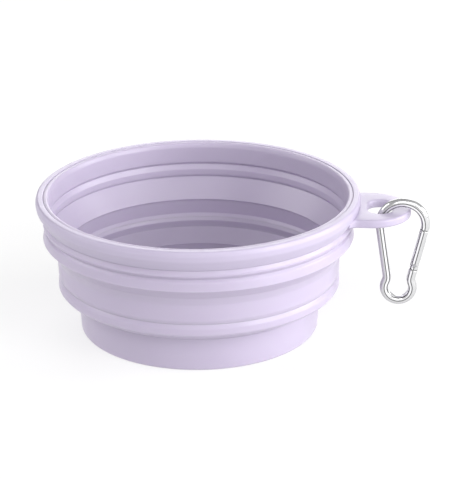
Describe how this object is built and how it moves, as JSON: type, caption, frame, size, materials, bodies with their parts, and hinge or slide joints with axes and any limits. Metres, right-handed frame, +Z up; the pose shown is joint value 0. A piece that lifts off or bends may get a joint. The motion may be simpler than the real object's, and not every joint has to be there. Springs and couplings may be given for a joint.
{
  "type": "collapsible pet bowl",
  "caption": "Soft accordion travel bowl that folds flat into a stiff rim frame, with a hanging tab and a sprung gourd-shaped snap link.",
  "frame": {"origin": "centre of the flat underside of the base cup", "axes": "+Z up along the bowl's axis, +X towards the hanging tab"},
  "size_m": [0.1576, 0.13, 0.0574],
  "materials": {
    "rim_plastic": "satin lavender",
    "soft_bowl": "satin lavender",
    "link_metal": "polished",
    "spring_steel": "drawn wire"
  },
  "bodies": {
    "rim": {"rim_frame": "rim_plastic", "rim_wall": "soft_bowl", "upper_fold": "soft_bowl"},
    "middle": {"middle_band": "soft_bowl", "lower_fold": "soft_bowl"},
    "base": {"base_cup": "soft_bowl"},
    "link": {"link_frame": "link_metal"},
    "gate": {"link_gate": "link_metal", "gate_rivet": "link_metal", "latch_pin": "link_metal", "gate_spring": "spring_steel"},
    "plunger": {"gate_plunger": "link_metal"}
  },
  "joints": [
    {"name": "upper_fold_slide", "type": "slide", "parent": "rim", "child": "middle", "axis": [0, 0, 1], "range_m": [0, 0.0215], "deforming": ["upper_fold"]},
    {"name": "lower_fold_slide", "type": "slide", "parent": "middle", "child": "base", "axis": [0, 0, 1], "range_m": [0, 0.0175], "deforming": ["lower_fold"]},
    {"name": "link_swing", "type": "hinge", "parent": "rim", "child": "link", "pos_m": [0.0819, -0.0043, 0.04673], "axis": [0, -1, 0], "range_deg": [-27.5, 47.5]},
    {"name": "gate_hinge", "type": "hinge", "parent": "link", "child": "gate", "pos_m": [0.08703, -0.0043, 0.02958], "axis": [0, -1, 0], "range_deg": [0, 25], "stiffness_Nm_per_rad": 0.02, "springref_deg": -20.05},
    {"name": "plunger_slide", "type": "slide", "parent": "gate", "child": "plunger", "axis": [0.2337, 0, 0.9723], "range_m": [0, 0.0005], "deforming": ["gate_spring"]}
  ],
  "couplings": [
    {"joint": "plunger_slide", "follows": "gate_hinge", "m_per_rad": 0.00103}
  ]
}
